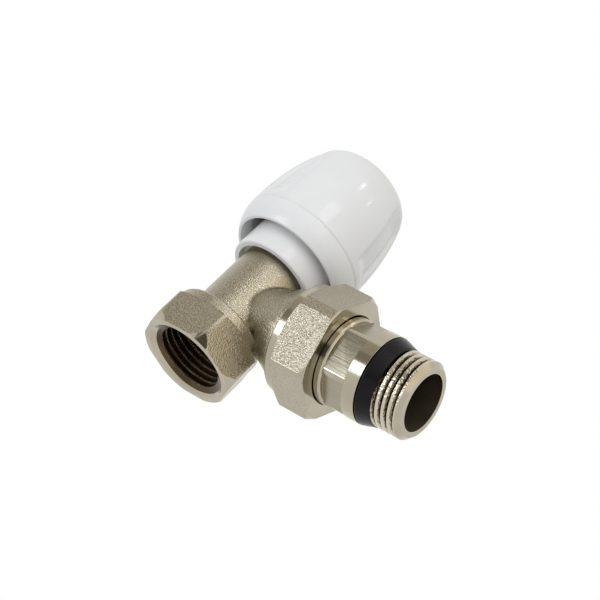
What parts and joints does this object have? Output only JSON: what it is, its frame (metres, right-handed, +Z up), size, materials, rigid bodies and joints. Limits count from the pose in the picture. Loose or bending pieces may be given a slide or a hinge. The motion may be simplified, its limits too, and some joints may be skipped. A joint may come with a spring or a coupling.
{
  "type": "angle radiator valve",
  "caption": "Angle radiator valve with a hexagon socket inlet, a fluted white hand knob on a rising spindle, and a union nut holding a sealed male-thread tailpiece.",
  "frame": {"origin": "on the inlet axis at the start of the inlet thread, inside the chamfered mouth of the socket", "axes": "+Z up the valve axis from the inlet to the knob, +X out along the tailpiece, as when fixed on a pipe that comes up from the floor"},
  "size_m": [0.0761, 0.0366, 0.0746],
  "materials": {
    "plated_brass": "nickel plated, fine blasted",
    "brass": "turned",
    "white_plastic": "gloss",
    "rubber": "satin",
    "packing": "matte",
    "steel": "bright"
  },
  "bodies": {
    "body": {"valve_body": "plated_brass", "bonnet": "brass", "bonnet_o_ring": "rubber", "gland_packing": "packing", "gland_washer": "brass", "gland_nut": "brass", "collar": "white_plastic"},
    "valve_plug": {"plug": "brass", "seat_washer": "rubber", "washer_screw": "steel", "plug_clip": "steel"},
    "knob": {"spindle": "brass", "spindle_o_ring": "rubber", "knob_skirt": "white_plastic", "knob_cap": "white_plastic", "knob_screw": "steel", "knob_screw_washer": "steel", "knob_cover": "white_plastic"},
    "tail": {"tailpiece": "plated_brass", "tailpiece_seal": "rubber", "union_o_ring": "rubber"},
    "nut": {"union_nut": "plated_brass"}
  },
  "joints": [
    {"name": "plug_lift", "type": "slide", "parent": "body", "child": "valve_plug", "axis": [0, 0, 1], "range_m": [-0.002, 0]},
    {"name": "knob_turn", "type": "hinge", "parent": "valve_plug", "child": "knob", "pos_m": [0, 0, 0.05], "axis": [0, 0, 1], "range_deg": [-480, 0]},
    {"name": "tailpiece_draw", "type": "slide", "parent": "body", "child": "tail", "axis": [1, 0, 0], "range_m": [0, 0.0077]},
    {"name": "union_nut_turn", "type": "hinge", "parent": "tail", "child": "nut", "pos_m": [0.025, 0, 0.0211], "axis": [1, 0, 0], "range_deg": [0, 1530]}
  ],
  "couplings": [
    {"joint": "knob_turn", "follows": "plug_lift", "rad_per_m": 4188.8},
    {"joint": "union_nut_turn", "follows": "tailpiece_draw", "rad_per_m": 3463.7}
  ]
}
